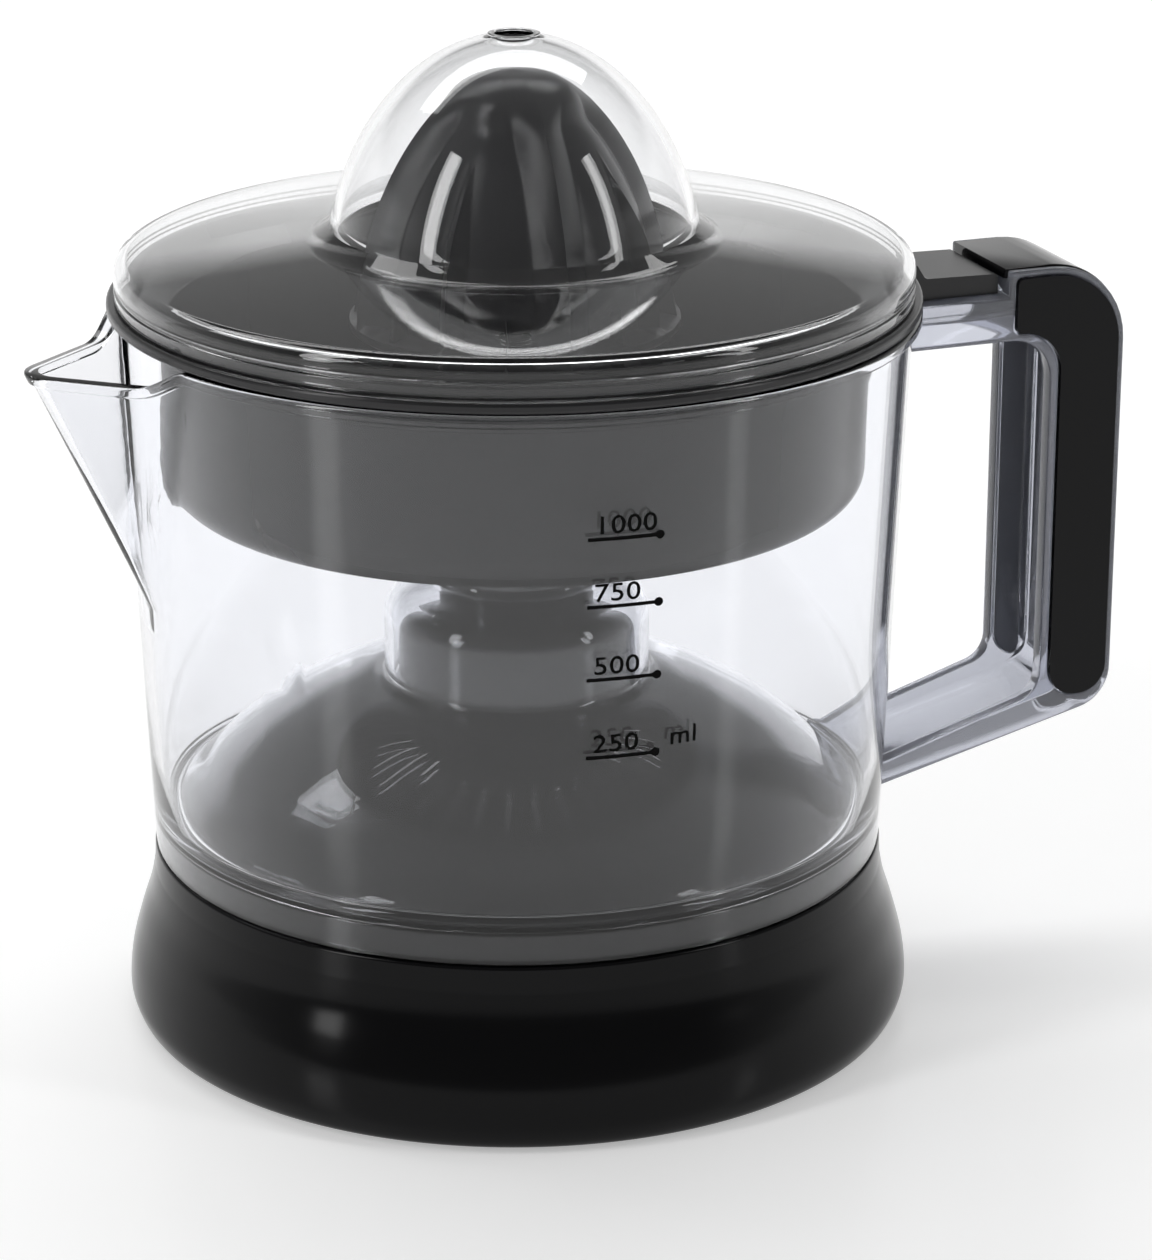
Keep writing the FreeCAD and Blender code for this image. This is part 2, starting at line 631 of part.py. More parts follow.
def cone(scale, lower):
    """The reamer's outline, scaled about the spindle and lowered, as a solid."""
    points = [(r * scale, z - lower * (z - CONE_BASE_Z) / (CONE_TIP_Z - CONE_BASE_Z)) for r, z in CONE]
    return lathe(curve(points) + rounded([points[-1], (0, CONE_BASE_Z)]))


def reamer_cone():
    star = []
    for i in range(2 * RIBS):
        middle = radians(RIB_PHASE) + i * pi / RIBS
        reach, half = (40, 0.035) if i % 2 == 0 else (30.5, 0.05)
        valley = middle + pi / RIBS / 2
        star += [(reach * cos(middle - half), reach * sin(middle - half)),
                 (reach * cos(middle + half), reach * sin(middle + half)),
                 (20 * cos(valley), 20 * sin(valley))]
    ribs = cone(1, 0).common(prism(star, CONE_BASE_Z - 1, CONE_TIP_Z + 1))
    body = cone(0.84, 5.0).fuse(ribs)
    skirt = turned([(0, 146.0), (33.6, 146.0, 0.6), (33.6, 148.6, 0.6), (27.0, 151.0), (0, 151.0)])
    body = body.fuse(skirt)
    hollow = cone(0.72, 10.0).cut(rod(11.0, 140, 210)).fuse(ring(11.0, 31.0, 145.0, 148.6))
    body = body.cut(hollow)
    body = body.fuse(rod(11.0, 142.6, 152.0))
    return keep_largest(body.cut(rod(8.0, 142, 170)).removeSplitter())


def drive_socket():
    return rod(8.0, 142.4, 170.0).cut(hexagon(HEX_AF - 0.2, 142, 167.0))


def reamer_bush():
    return ring(7.5 + RUN + 0.04, 11.8, 135.2, 142.0)


LID_DOME_FROM = radians(14)   # the dome's ellipse starts this far up


def lid_dome(shrink):
    """Points on the dome from its foot to its top, on an ellipse made smaller by shrink."""
    steps = 10
    sweep = pi / 2 - LID_DOME_FROM
    points = []
    for i in range(steps + 1):
        angle = LID_DOME_FROM + sweep * i / steps
        points.append(((LID_DOME_R - shrink) * cos(angle),
                       LID_DOME_Z + (LID_TOP - LID_DOME_Z - shrink) * sin(angle)))
    return points


def dust_cover():
    outer, inner = lid_dome(0), lid_dome(LID_WALL)
    outside = lathe(rounded([(0, LID_Z), (LID_R, LID_Z, 0.4), (LID_R, 162.4, 2.6), (41.0, 165.8, 5),
                             outer[0]])
                    + curve(outer) + rounded([(0, LID_TOP), (0, LID_Z)]))
    inside_r = LID_R - LID_WALL
    inside = lathe(rounded([(0, LID_Z - 1), (inside_r, LID_Z - 1), (inside_r, 160.7, 1.4), (40.0, 164.0, 6.2),
                            inner[0]])
                   + curve(inner) + rounded([(0, LID_TOP - LID_WALL), (0, LID_Z - 1)]))
    cover = outside.cut(inside)
    cover = cover.fuse(ring(3.9, 5.2, LID_TOP - 1.6, LID_TOP + 0.2))
    cover = cover.cut(ring(LID_R - 0.45, LID_R + 1, 157.2, 158.0))
    return cover.cut(rod(3.9, 195, 210)).removeSplitter()


# ---- write the nodes -----------------------------------------------------------
save("base_housing", base_housing())
save("bottom_plate", bottom_plate())
save("rubber_feet", *[rubber_foot(x, y) for x, y in FOOT_SPOTS])
save("bottom_screws", *[screw(x, y, 1.6, 14.4) for x, y in BOSS_SPOTS])
save("cord_gland", cord_gland())
save("terminal_block", terminal_block())

save("chassis_plate", chassis_plate())
save("chassis_screws", *[screw(x, y, PLATE_Z - 1.2, 10.0) for x, y in PLATE_SPOTS])
save("motor_core", motor_core())
save("motor_coil", motor_coil())
save("motor_bridges", motor_bridge(31.8, 1), motor_bridge(10.4, -1))
save("motor_screws", *[screw(x, y, 9.2, 32.6) for x, y in MOTOR_SCREWS])
save("rotor_magnet", ring(2.0, ROTOR_R, 13.5, 30.5, MOTOR_X))
save("rotor_shaft", rod(2.0, 7.0, 49.0, MOTOR_X))
save("motor_pinion", shifted(gear(0.8, 10, 44.2, 48.8), MOTOR_X).cut(rod(2.0, 40, 50, MOTOR_X)))
save("idler_pin", rod(2.0, PLATE_Z, 58.5, IDLER_X).fuse(rod(3.4, PLATE_Z + PLATE_T, 43.8, IDLER_X)))
save("idler_gear", idler_gear())
save("output_gear", output_gear())
save("gear_bush", gear_bush())
save("tower_bush", tower_bush())
save("drive_shaft", drive_shaft())
save("shaft_clip", shaft_clip())
save("return_spring", return_spring())
save("switch_lever", switch_lever())
save("lever_pin", Part.makeCylinder(1.2, 17, FreeCAD.Vector(LEVER_X, -8.5, LEVER_Z), FreeCAD.Vector(0, 1, 0)))
save("switch_body", switch_body())

save("jug_body", jug_body())
save("jug_spout", jug_spout())
save("jug_handle", jug_handle())
save("handle_inlay_front", handle_inlay(-1))
save("handle_inlay_rear", handle_inlay(1))
save("handle_back_strip", handle_back_strip())

save("juice_tray", juice_tray())
save("reamer_bush", reamer_bush())
save("reamer_cone", reamer_cone())
save("drive_socket", drive_socket())
save("dust_cover", dust_cover())
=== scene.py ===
import json
from math import asin, atan2, cos, hypot, pi, radians, sin, sqrt, tan

import bmesh
import bpy
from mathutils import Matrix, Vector


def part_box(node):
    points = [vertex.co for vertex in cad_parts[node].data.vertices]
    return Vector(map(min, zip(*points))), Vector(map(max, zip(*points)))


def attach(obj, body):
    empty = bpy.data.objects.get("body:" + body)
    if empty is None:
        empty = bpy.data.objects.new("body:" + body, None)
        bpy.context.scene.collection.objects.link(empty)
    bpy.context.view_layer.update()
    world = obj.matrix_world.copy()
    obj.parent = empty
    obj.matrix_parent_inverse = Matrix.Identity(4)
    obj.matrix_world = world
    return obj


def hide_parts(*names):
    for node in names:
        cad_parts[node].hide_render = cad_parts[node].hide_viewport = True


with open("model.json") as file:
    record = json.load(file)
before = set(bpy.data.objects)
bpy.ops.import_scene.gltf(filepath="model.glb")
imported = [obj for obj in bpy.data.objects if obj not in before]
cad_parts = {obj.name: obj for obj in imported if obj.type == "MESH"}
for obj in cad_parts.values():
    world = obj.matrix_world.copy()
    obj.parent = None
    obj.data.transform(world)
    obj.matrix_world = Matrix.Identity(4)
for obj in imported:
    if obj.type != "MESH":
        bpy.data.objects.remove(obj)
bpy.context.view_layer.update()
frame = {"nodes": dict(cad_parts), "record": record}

# Citrus press juicer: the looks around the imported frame.  Shapes are drawn in
# millimetres about the spindle, which stands at AXIS_X in the row frame.
MM = 0.001
LOW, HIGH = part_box("base_housing")
AXIS_X = (LOW.x + HIGH.x) / 2
WIDE = 40.0                     # edges bent more than this many degrees stay sharp


# ---- mesh helpers ------------------------------------------------------------
def put(name, data):
    """An object in the scene with the data given."""
    piece = bpy.data.objects.new(name, data)
    bpy.context.scene.collection.objects.link(piece)
    return piece


def mesh_of(name, bm):
    """A mesh from the bmesh, which is freed."""
    mesh = bpy.data.meshes.new(name)
    bm.to_mesh(mesh)
    bm.free()
    return mesh


def mark_sharp(bm, limit):
    """Keeps edges sharp that are open or bent more than limit degrees."""
    for e in bm.edges:
        e.smooth = len(e.link_faces) == 2 and e.calc_face_angle(0) < radians(limit)


def mix(start, end, t):
    return start + (end - start) * t


def rounded(points, turns=6):
    """Points (a, b) or (a, b, radius) with the corners turned into arcs."""
    out = []
    count = len(points)
    for i, point in enumerate(points):
        here = Vector(point[:2])
        if len(point) < 3:
            out.append(here)
            continue
        back = (Vector(points[i - 1][:2]) - here).normalized()
        ahead = (Vector(points[(i + 1) % count][:2]) - here).normalized()
        half = back.angle(ahead) / 2
        cut = point[2] / tan(half)
        centre = here + (back + ahead).normalized() * (point[2] / sin(half))
        start = here + back * cut - centre
        end = here + ahead * cut - centre
        sweep = start.angle_signed(end)
        for k in range(turns + 1):
            angle = -sweep * k / turns
            out.append(centre + Vector((start.x * cos(angle) - start.y * sin(angle),
                                        start.x * sin(angle) + start.y * cos(angle))))
    return [(p.x, p.y) for p in out]


def smooth(points, per_span=6):
    """A Catmull-Rom curve through the points."""
    ends = [points[0]] + list(points) + [points[-1]]
    out = []
    for i in range(1, len(ends) - 2):
        p0, p1, p2, p3 = (Vector(p) for p in ends[i - 1:i + 3])
        for k in range(per_span):
            t = k / per_span
            out.append(0.5 * ((2 * p1) + (p2 - p0) * t + (2 * p0 - 5 * p1 + 4 * p2 - p3) * t * t
                              + (3 * p1 - p0 - 3 * p2 + p3) * t ** 3))
    out.append(Vector(points[-1]))
    return [(p.x, p.y) for p in out]


def finish_mesh(name, bm, sharp=WIDE):
    """A mesh object in metres, smooth except at its sharp edges."""
    bmesh.ops.remove_doubles(bm, verts=bm.verts, dist=0.0005)
    bmesh.ops.recalc_face_normals(bm, faces=bm.faces)
    for f in bm.faces:
        f.smooth = True
    mark_sharp(bm, sharp)
    for v in bm.verts:
        v.co = Vector((v.co.x * MM + AXIS_X, v.co.y * MM, v.co.z * MM))
    return put(name, mesh_of(name, bm))


def spin(name, section, angles=None, shape=None, sharp=WIDE):
    """A closed section (r, z) turned about the spindle; shape(a, r, z) may bend it."""
    angles = angles or [i * 2 * pi / 192 for i in range(192)]
    bm = bmesh.new()
    rings = []
    for a in angles:
        places = [shape(a, r, z) if shape else (r, z) for r, z in section]
        rings.append([bm.verts.new((r * cos(a), r * sin(a), z)) for r, z in places])
    count = len(section)
    for i, ring in enumerate(rings):
        following = rings[(i + 1) % len(rings)]
        for j in range(count):
            k = (j + 1) % count
            if max(section[j][0], section[k][0]) > 0.001:
                bm.faces.new((ring[j], following[j], following[k], ring[k]))
    return finish_mesh(name, bm, sharp)


def plate(name, outline, y0, y1, bevel=0.0, sharp=WIDE):
    """A side outline (x, z) stretched from y0 to y1, with rounded edges."""
    bm = bmesh.new()
    near = [bm.verts.new((x, y0, z)) for x, z in outline]
    far = [bm.verts.new((x, y1, z)) for x, z in outline]
    bm.faces.new(near)
    bm.faces.new(list(reversed(far)))
    for i in range(len(outline)):
        k = (i + 1) % len(outline)
        bm.faces.new((near[k], near[i], far[i], far[k]))
    if bevel:
        rims = [e for e in bm.edges if abs(e.verts[0].co.y - e.verts[1].co.y) < 0.001]
        bmesh.ops.bevel(bm, geom=rims, offset=bevel, segments=4, profile=0.5, affect="EDGES",
                        clamp_overlap=True)
    return finish_mesh(name, bm, sharp)


def apply_modifiers(piece):
    """Replaces the piece's mesh by what its modifiers make of it."""
    graph = bpy.context.evaluated_depsgraph_get()
    mesh = bpy.data.meshes.new_from_object(piece.evaluated_get(graph))
    piece.modifiers.clear()
    piece.data = mesh
    return piece


def carve(piece, tools):
    """Cuts the tools out of the piece and deletes them."""
    for tool in tools:
        step = piece.modifiers.new("carve", "BOOLEAN")
        step.operation = "DIFFERENCE"
        step.solver = "EXACT"
        step.object = tool
        apply_modifiers(piece)
        bpy.data.objects.remove(tool)


def soften(piece, width):
    """Rounds every sharp edge of the piece, and keeps its flats flat."""
    step = piece.modifiers.new("soften", "BEVEL")
    step.width = width * MM
    step.segments = 3
    step.limit_method = "ANGLE"
    step.angle_limit = radians(WIDE)
    step.harden_normals = False
    apply_modifiers(piece)
    for polygon in piece.data.polygons:
        polygon.use_smooth = True
    bm = bmesh.new()
    bm.from_mesh(piece.data)
    mark_sharp(bm, WIDE)
    bm.to_mesh(piece.data)
    bm.free()


# ---- materials ---------------------------------------------------------------
GLOSS_PATCHES, GRAIN = 38.0, 900.0      # noise scales, per metre
GRAIN_HEIGHT = 0.0002                   # metres


def set_inputs(node, **values):
    """Sets the node's inputs; an underscore stands for a space in a name."""
    for socket, value in values.items():
        node.inputs[socket.replace("_", " ")].default_value = value
    return node


def material(name, colour, rough, rough_spread, bump, **sockets):
    """One colour, with fine changes in gloss and surface."""
    made = bpy.data.materials.new(name)
    made.use_nodes = True
    nodes = made.node_tree.nodes
    links = made.node_tree.links
    shader = set_inputs(nodes["Principled BSDF"], Base_Color=(*colour, 1), **sockets)
    place = nodes.new("ShaderNodeTexCoord")
    broad = set_inputs(nodes.new("ShaderNodeTexNoise"), Scale=GLOSS_PATCHES, Detail=4.0)
    links.new(place.outputs["Object"], broad.inputs["Vector"])
    gloss = set_inputs(nodes.new("ShaderNodeMapRange"), To_Min=max(0.0, rough - rough_spread),
                       To_Max=rough + rough_spread)
    links.new(broad.outputs["Fac"], gloss.inputs["Value"])
    links.new(gloss.outputs["Result"], shader.inputs["Roughness"])
    fine = set_inputs(nodes.new("ShaderNodeTexNoise"), Scale=GRAIN, Detail=3.0)
    links.new(place.outputs["Object"], fine.inputs["Vector"])
    relief = set_inputs(nodes.new("ShaderNodeBump"), Strength=bump, Distance=GRAIN_HEIGHT)
    links.new(fine.outputs["Fac"], relief.inputs["Height"])
    links.new(relief.outputs["Normal"], shader.inputs["Normal"])
    return made


CLEAR = dict(Transmission_Weight=1.0, IOR=1.46)
MATERIALS = {
    "base_black": material("base_black", (0.003, 0.003, 0.0034), 0.15, 0.03, 0.004, Specular_IOR_Level=0.14),
    "base_black_matt": material("base_black_matt", (0.02, 0.02, 0.02), 0.5, 0.08, 0.25),
    "foot_rubber": material("foot_rubber", (0.03, 0.03, 0.03), 0.75, 0.08, 0.3),
    "screw_steel": material("screw_steel", (0.55, 0.55, 0.56), 0.3, 0.08, 0.1, Metallic=1.0),
    "terminal_white": material("terminal_white", (0.78, 0.78, 0.74), 0.45, 0.06, 0.15),
    "chassis_grey": material("chassis_grey", (0.25, 0.25, 0.26), 0.5, 0.06, 0.2),
    "core_steel": material("core_steel", (0.28, 0.28, 0.29), 0.42, 0.08, 0.3, Metallic=1.0),
    "coil_brass": material("coil_brass", (0.62, 0.30, 0.12), 0.35, 0.06, 0.5, Metallic=1.0),
    "magnet_grey": material("magnet_grey", (0.10, 0.10, 0.11), 0.55, 0.06, 0.3),
    "shaft_steel": material("shaft_steel", (0.62, 0.62, 0.63), 0.22, 0.05, 0.08, Metallic=1.0),
    "gear_white": material("gear_white", (0.83, 0.82, 0.76), 0.4, 0.05, 0.1),
    "spindle_grey": material("spindle_grey", (0.16, 0.16, 0.17), 0.4, 0.05, 0.1),
    "jug_clear": material("jug_clear", (0.925, 0.932, 0.955), 0.012, 0.012, 0.002, **CLEAR),
    "cover_clear": material("cover_clear", (0.975, 0.978, 0.985), 0.012, 0.012, 0.002, **CLEAR),
    "inlay_black": material("inlay_black", (0.004, 0.004, 0.0045), 0.11, 0.03, 0.004,
                            Specular_IOR_Level=0.16),
    "tray_grey": material("tray_grey", (0.016, 0.016, 0.017), 0.26, 0.04, 0.002, Specular_IOR_Level=0.34),
    "reamer_grey": material("reamer_grey", (0.046, 0.046, 0.048), 0.3, 0.04, 0.003, Specular_IOR_Level=0.3),
}
# Finishes that share a record slot with another piece.
# The handle's clear is a greyer, milkier copy of the jug's clear plastic: its grey is painted shade for the
# dark that the handle reflects and refracts, and its blue cast is the plastic's own tint.
HANDLE_CLEAR_PAINTED_SHADE = material("handle_clear_painted_shade", (0.70, 0.72, 0.80), 0.03, 0.015, 0.004, Transmission_Weight=0.82,
                        IOR=1.46)
MARK_INK = material("mark_ink", (0.002, 0.002, 0.002), 0.5, 0.05, 0.01, Specular_IOR_Level=0.05)

SLOTS = {s["node"]: s["material_slot"] for s in frame["record"]["subparts"]}
for name, node in frame["nodes"].items():
    node.data.materials.clear()
    node.data.materials.append(MATERIALS[SLOTS[name]])


def dress(piece, body, slot, *stands_for, finish=None):
    """Attaches the piece to its body, gives it its finish (the record slot's material unless another finish
    is given), and hides the nodes it stands for.
    """
    piece.data.materials.clear()
    piece.data.materials.append(finish or MATERIALS[slot])
    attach(piece, body)
    if stands_for:
        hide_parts(*stands_for)
    return piece


# ---- base housing --------------------------------------------------------------
# Sections (r, z): the top of the jug's floor, and the base's side.
FLOOR = [(70.5, 49.2), (66, 53.0), (60, 58.6), (52, 64.2), (42, 69.2), (34, 71.8), (29.5, 72.6)]
FLANK = [(78.6, 0.8), (80.6, 1.8), (81.9, 4.4), (82.3, 7.5), (81.6, 13.5), (79.7, 20.5), (77.6, 27.0),
         (76.4, 33.0)]


def dome(lower):
    """The floor's curve, lowered; the jug and the base under it share it."""
    return smooth([(r, z - lower) for r, z in FLOOR])


def base_housing():
    outside = smooth(FLANK) + rounded([(76.4, 33.4), (76.2, 38.2, 0.7), (72.8, 38.2, 0.4), (72.8, 43.8, 0.8),
                                       (71.5, 44.8)])[1:-1] + dome(3.5)
    outside += rounded([(30.0, 69.1), (24.5, 71.5, 2.5), (24.5, 84.0, 4), (15.5, 87.0, 2.5), (15.5, 104.0, 2),
                        (7.1, 104.0), (7.1, 101.0), (20.0, 90.0)])[1:-1]
    inside = [(13.1, 101.0), (13.1, 84.4), (22.1, 81.6), (22.1, 66.7), (28.3, 66.7), (50.0, 58.6),
              (64.8, 47.1), (70.4, 41.2), (70.4, 35.8), (73.8, 35.8), (75.0, 27.0), (77.3, 20.5),
              (79.2, 13.5), (79.9, 7.5), (79.1, 3.4), (76.8, 0.9)]
    return dress(spin("base_shell", outside + inside), "base", "base_black", "base_housing")


# ---- jug ---------------------------------------------------------------------
JUG_WALL = 2.2
FOOT_Z, WALL_TOP, RIM_Z = 38.5, 149.5, 152.0
FOOT_R, WALL_TOP_R = 76.0, 80.6
# The spout grows from its low end to its lip: heights, then the reach of its tip,
# the roundness of its tip and the angle of its roots at the two ends.
SPOUT_LOW, SPOUT_LIP = 96.0, 147.0
LOW_REACH, LIP_REACH = 78.2, 101.3
LOW_TIP_R, LIP_TIP_R = 1.6, 7.4
LOW_ROOT_DEG, LIP_ROOT_DEG = 5.5, 17.0
LIP_DROP = 5.0                  # how far the rim sinks over the spout
BLEND = 1.6                     # width of the soft line between side and spout


def wall_r(z):
    """Outside radius of the jug's side."""
    return mix(FOOT_R, WALL_TOP_R, (z - FOOT_Z) / (WALL_TOP - FOOT_Z))


def spout_r(off, z, inset):
    """Radius of the spout at an angle off its middle, or None beyond its roots."""
    t = (z - SPOUT_LOW) / (SPOUT_LIP - SPOUT_LOW)
    if t <= 0 or off > radians(35):
        return None
    reach = mix(LOW_REACH, LIP_REACH, t)
    tip = mix(LOW_TIP_R, LIP_TIP_R, t)
    root = radians(mix(LOW_ROOT_DEG, LIP_ROOT_DEG, t))
    root_r = wall_r(z)
    along = reach - tip - root_r * cos(root)
    across = root_r * sin(root)
    half = atan2(across, along) - asin(min(0.99, tip / hypot(across, along)))
    centre = reach - tip
    corner = centre + tip / sin(half) - inset / sin(half)
    round_r = max(tip - inset, 0.3)
    touch = atan2(round_r * cos(half), centre + round_r * sin(half))
    if off < touch:
        return centre * cos(off) + sqrt(max(round_r ** 2 - (centre * sin(off)) ** 2, 0))
    return corner * sin(half) / sin(half + off)


def jug_shape(a, r, z):
    """Bends the jug's side out into the spout, and drops the rim there."""
    side = wall_r(z)
    if r < side - JUG_WALL - 0.6 or z < SPOUT_LOW - 1:
        return r, z
    off = abs(a % (2 * pi) - pi)
    inset = JUG_WALL if r < side - JUG_WALL / 2 else 0.0
    drop = 0.5 - 0.5 * cos(pi * min(1, max(0, (radians(LIP_ROOT_DEG + 3) - off) / radians(9))))
    low_z = z - drop * LIP_DROP * max(0, (z - 120) / (RIM_Z - 120))
    out = spout_r(off, low_z, inset)
    plain = wall_r(low_z) - inset
    bead = max(0.0, r - side) * (1 - 0.55 * drop) if not inset else 0.0
    if out is None:
        return plain + bead, low_z
    joined = (plain + out + sqrt((plain - out) ** 2 + BLEND ** 2)) / 2
    joined -= BLEND ** 2 / 4 / (abs(plain - out) + BLEND)
    return joined + bead, low_z


def jug_body():
    wall = [(wall_r(z), z) for z in (60, 75, 90, 96, 102, 108, 114, 120, 126, 132, 138, 143, 146.5)]
    outside = rounded([(73.8, FOOT_Z), (FOOT_R, FOOT_Z, 0.5), (wall_r(50), 50)])[1:-1] + wall
    rim = rounded([(80.5, 148.0), (80.6, 149.3, 0.5), (82.5, 149.5, 0.6), (82.5, RIM_Z, 0.9),
                   (78.5, RIM_Z, 0.7), (78.45, 149.0)])[1:-1]
    inner = [(r - JUG_WALL, z) for r, z in reversed(wall)]
    floor = rounded([(74.4, 55), (73.95, 47.4, 1.6), (71.6, 47.9, 1.5), (70.4, 49.3)])[1:-1] + dome(0)
    chimney = rounded([(30.0, 72.6), (27.5, 73.4, 1.5), (27.5, 89.5, 7), (18.5, 95.0, 3), (18.5, 122.0, 1.5),
                       (7.0, 122.0, 0.4), (7.0, 120.0, 0.4), (16.5, 120.0, 1), (16.5, 92.5, 2),
                       (25.5, 88.0, 5), (25.5, 71.5, 1.5), (29.5, 70.6)])[1:-1]
    below = list(reversed(dome(2.0))) + rounded([(70.5, 47.2), (71.4, 45.4, 1), (73.8, 44.8, 0.8),
                                                 (73.8, FOOT_Z, 0.5), (FOOT_R, FOOT_Z)])[1:-1]
    section = outside + rim + inner + floor + chimney + below
    # Half-degree steps across the spout, which points to 180 degrees, and coarser ones elsewhere.
    fine = [radians(180 + i * 0.5) for i in range(-60, 61)]
    coarse = [radians(210 + i * 2) for i in range(1, 150)]
    piece = spin("jug_clear_body", section, angles=fine + coarse, shape=jug_shape)
    return dress(piece, "jug", "jug_clear", "jug_body", "jug_spout")


# ---- handle ------------------------------------------------------------------
HALF = 14.2                     # half the handle's thickness
BACK = 131.7                    # the frame's back face
CAP_X, CAP_TOP = 104.5, 151.6
CORNER_R = 17.0
BORDER = 1.5                    # clear edge left round the side panels
POCKET, PANEL_PROUD = 1.1, 0.7
STRIP_HALF, STRIP_T, STRIP_PROUD, STRIP_END = 12.4, 2.2, 0.3, 58.0


def strip_line(outer, depth, end):
    """The strip's side outline: over the top corner and down the handle's back."""
    start = CAP_X - 0.4
    top, back = CAP_TOP + outer, BACK + outer
    low, front = CAP_TOP - depth, BACK - depth
    return rounded([(start, top), (back, top, CORNER_R + outer), (back, end), (front, end),
                    (front, low, CORNER_R - depth), (start, low)], 12)


def inlay_line(gap):
    """Outline of a side panel: over the cap and down the back of the handle."""
    left, right = CAP_X + BORDER + gap, BACK - BORDER - gap
    top, bottom = CAP_TOP - BORDER - gap, 56.0 + gap
    return [(left, top, 1.6 - gap), (right, top, CORNER_R - BORDER - gap), (right, bottom, 6.2 - gap),
            (116.6 + gap, bottom, 6.2 - gap), (116.6 + gap, 138.0 + gap, 9.0 + gap),
            (left, 138.0 + gap, 1.6 - gap)]


def side_plate(name, outline, side, inner, outer, bevel=0.0):
    """A plate on one side of the handle, between two distances from its middle."""
    return plate(name, outline, min(side * inner, side * outer), max(side * inner, side * outer), bevel)


def jug_handle():
    frame_line = [(78.5, 146.0), (CAP_X, 146.0), (CAP_X, CAP_TOP), (BACK, CAP_TOP, CORNER_R),
                  (BACK, 54.1, 9), (74.3, 39.9), (74.3, 44.9), (114.7, 57.4, 6), (114.7, 136.5, 9),
                  (78.5, 136.5)]
    piece = plate("handle_frame", rounded(frame_line, 10), -HALF, HALF)
    groove = [(60, 141.6), (121.6, 141.6, 14), (121.6, 56.4, 5), (60, 39.6)]
    tools = [plate("groove", rounded(groove), -10.4, 10.4),
             plate("recess", strip_line(3.0, STRIP_T - STRIP_PROUD, STRIP_END), -STRIP_HALF, STRIP_HALF)]
    for side in (-1, 1):
        tools.append(side_plate("pocket", rounded(inlay_line(0), 8), side, HALF - POCKET, HALF + 2))
    carve(piece, tools)
    soften(piece, 0.6)
    # The frame wears the greyer copy of the clear plastic, whose grey is painted shade.
    return dress(piece, "jug", "jug_clear", "jug_handle", finish=HANDLE_CLEAR_PAINTED_SHADE)


def handle_inlays():
    for name, side in (("handle_inlay_front", -1), ("handle_inlay_rear", 1)):
        panel = side_plate(name.replace("handle_", "panel_"), rounded(inlay_line(0.15), 12), side,
                           HALF - POCKET + 0.05, HALF + PANEL_PROUD, bevel=0.65)
        dress(panel, "jug", "inlay_black", name)


def handle_back_strip():
    outline = strip_line(STRIP_PROUD - 0.02, STRIP_T - STRIP_PROUD - 0.05, STRIP_END + 0.2)
    piece = plate("back_strip", outline, 0.1 - STRIP_HALF, STRIP_HALF - 0.1, bevel=0.4)
    return dress(piece, "jug", "inlay_black", "handle_back_strip")


# ---- reamer ------------------------------------------------------------------
CONE = [(33.6, 148.0), (33.0, 156.0), (31.4, 164.5), (28.8, 173.0), (25.0, 181.0), (20.3, 188.0),
        (14.6, 194.0), (8.0, 198.2), (1.2, 199.3)]
FLUTES_FROM = 148.2             # height where the hollow petals start
FLUTE_DEPTH = 4.7
RIB_WIDTH = 6.8                 # distance over which a main rib falls to the petal
SHORT_SHARE = 0.7               # height of a short rib as a share of the flute's depth
RIBS = 4                        # main ribs, with as many short ones
RIB_DEG = 89.0                  # angle of one main rib about the spindle


def ramp(value, low, high):
    """0 below low, 1 above high, and smooth between."""
    t = min(1.0, max(0.0, (value - low) / (high - low)))
    return t * t * (3 - 2 * t)


def reamer_shape(a, r, z):
    """Hollow petals between the sharp main ribs, each with a short rib in its middle."""
    if z < FLUTES_FROM:
        return r, z
    half = pi / RIBS
    main = (a - radians(RIB_DEG) + half) % (2 * half) - half
    short = (a - radians(RIB_DEG)) % (2 * half) - half
    depth = FLUTE_DEPTH * ramp(197.5 - z, 0.0, 9.0)
    tall = max(0.0, 1 - abs(main) * r / RIB_WIDTH) ** 1.15
    rise = ramp(185.0 - z, 0.0, 20.0)
    small = SHORT_SHARE * rise * max(0.0, 1 - abs(short) * r / (0.8 + 2.2 * rise))
    return r - depth * (1 - max(tall, small)), z


def reamer_cone():
    section = [(27.0, 146.2), (33.2, 146.2), (33.6, 146.6), (33.6, 147.9)] + smooth(CONE, 5)
    section += [(0.0, 199.4), (0.0, 196.0), (8.0, 170.0), (8.0, 142.6), (11.0, 142.6), (11.0, 150.0),
                (22.0, 152.0)]
    angles = [radians(i * 0.75 + RIB_DEG) for i in range(480)]
    piece = spin("reamer", section, angles=angles, shape=reamer_shape, sharp=46)
    return dress(piece, "reamer", "reamer_grey", "reamer_cone")


def reamer_fins():
    """Small pointed fins in the valleys, standing on the reamer's foot."""
    bm = bmesh.new()
    for i in range(2 * RIBS):
        a = radians(RIB_DEG) + (i + 0.5) * pi / RIBS
        along = Vector((cos(a), sin(a), 0))
        across = Vector((-sin(a), cos(a), 0)) * 0.6
        inner, outer = along * 24.0, along * 33.0
        foot = [bm.verts.new(p + Vector((0, 0, 147.4))) for p in (inner - across, outer - across,
                                                                  outer + across, inner + across)]
        tip = bm.verts.new(along * 31.4 + Vector((0, 0, 155.2)))
        back = bm.verts.new(inner + Vector((0, 0, 152.0)))
        bm.faces.new(list(reversed(foot)))
        bm.faces.new((foot[0], foot[1], tip, back))
        bm.faces.new((foot[2], foot[3], back, tip))
        bm.faces.new((foot[1], foot[2], tip))
        bm.faces.new((foot[3], foot[0], back))
    return dress(finish_mesh("reamer_fins", bm, 25), "reamer", "reamer_grey")


# ---- cover -------------------------------------------------------------------
DOME_A, DOME_B, DOME_Z = 38.5, 50.8, 156.0      # the dome's half axes and centre
DOME_WALL = 1.8


